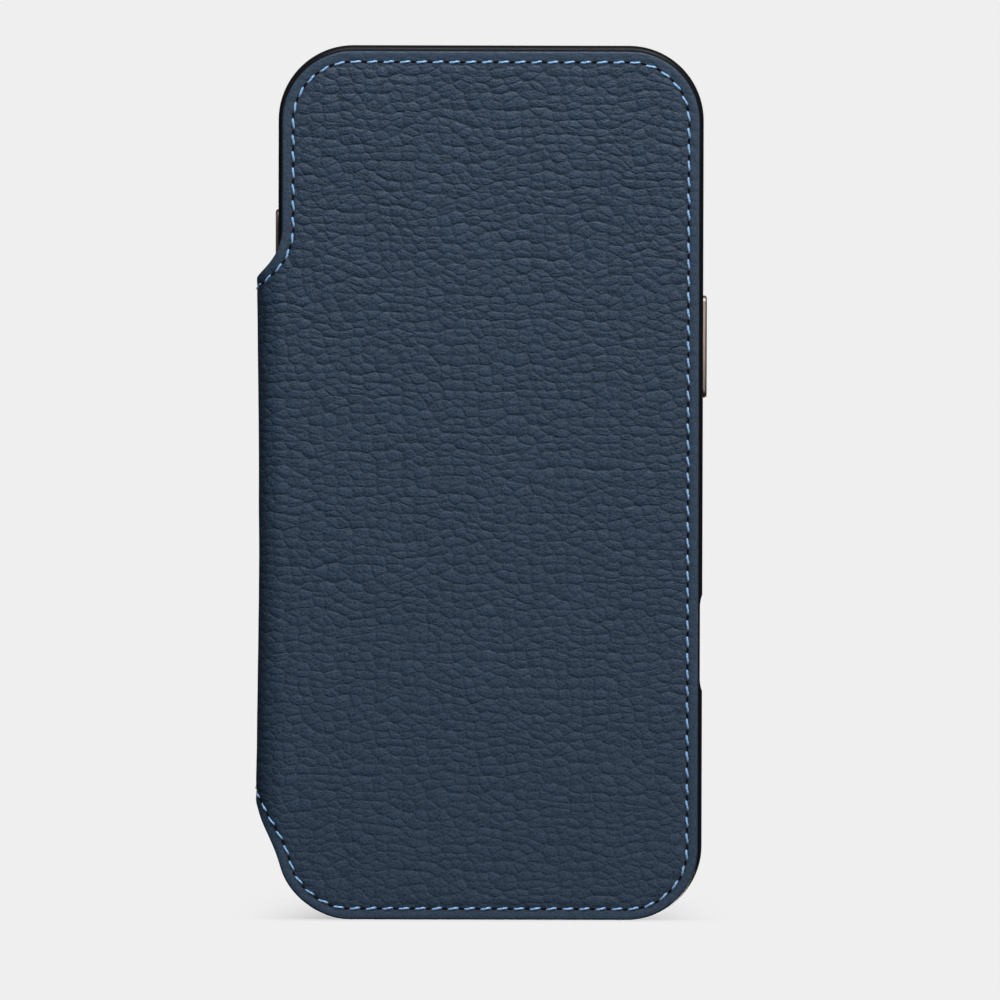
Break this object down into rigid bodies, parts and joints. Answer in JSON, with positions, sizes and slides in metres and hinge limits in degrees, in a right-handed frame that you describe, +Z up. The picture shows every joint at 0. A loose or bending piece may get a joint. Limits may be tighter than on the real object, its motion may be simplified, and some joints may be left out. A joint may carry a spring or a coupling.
{
  "type": "phone wallet case",
  "caption": "Slim leather folio wallet case for a large phone: moulded holder, leather skin with folding cover and spine, card pockets and side keys.",
  "frame": {"origin": "middle of the footprint's box, on the surface that the closed case stands on", "axes": "+Z up the standing case, +Y towards the back panel with the camera opening, -Y towards the front cover, +X towards the power key"},
  "size_m": [0.0856, 0.017, 0.166],
  "materials": {
    "leather": "pebble-grained calf leather, satin, painted edges",
    "pocket_leather": "smooth thin leather, satin",
    "microfibre": "brushed microfibre",
    "thread": "waxed polyester thread, light blue",
    "moulding": "gloss moulded polycarbonate",
    "key_metal": "satin anodised, warm grey",
    "board": "pressed fibre board",
    "magnet": "nickel plated",
    "strike_steel": "brushed"
  },
  "bodies": {
    "holder": {"holder_shell": "moulding", "holder_lining": "microfibre", "back_leather": "leather", "back_thread": "thread", "holder_strike_lower": "strike_steel", "holder_strike_upper": "strike_steel"},
    "spine": {"spine_leather": "leather", "spine_lining": "microfibre", "spine_thread_lower": "thread", "spine_thread_upper": "thread"},
    "cover": {"cover_leather": "leather", "cover_board": "board", "cover_lining": "microfibre", "cash_pocket": "pocket_leather", "card_pocket_3": "pocket_leather", "card_pocket_2": "pocket_leather", "card_pocket_1": "pocket_leather", "cover_thread": "thread", "pocket_thread_lower": "thread", "pocket_thread_upper": "thread", "cover_magnet_lower": "magnet", "cover_magnet_upper": "magnet"},
    "power_key_cap": {"power_key": "key_metal"},
    "action_key_cap": {"action_key": "key_metal"},
    "volume_up_cap": {"volume_up_key": "key_metal"},
    "volume_down_cap": {"volume_down_key": "key_metal"}
  },
  "joints": [
    {"name": "spine_fold", "type": "hinge", "parent": "holder", "child": "spine", "pos_m": [-0.0413, 0.00687, 0.0721], "axis": [0, 0, -1], "range_deg": [0, 178]},
    {"name": "cover_fold", "type": "hinge", "parent": "spine", "child": "cover", "pos_m": [-0.0413, -0.00707, 0.0721], "axis": [0, 0, -1], "range_deg": [0, 178]},
    {"name": "power_key_press", "type": "slide", "parent": "holder", "child": "power_key_cap", "axis": [-1, 0, 0], "range_m": [0, 0.0003], "stiffness_N_per_m": 1500},
    {"name": "action_key_press", "type": "slide", "parent": "holder", "child": "action_key_cap", "axis": [1, 0, 0], "range_m": [0, 0.0003], "stiffness_N_per_m": 1500},
    {"name": "volume_up_press", "type": "slide", "parent": "holder", "child": "volume_up_cap", "axis": [1, 0, 0], "range_m": [0, 0.0003], "stiffness_N_per_m": 1500},
    {"name": "volume_down_press", "type": "slide", "parent": "holder", "child": "volume_down_cap", "axis": [1, 0, 0], "range_m": [0, 0.0003], "stiffness_N_per_m": 1500}
  ]
}
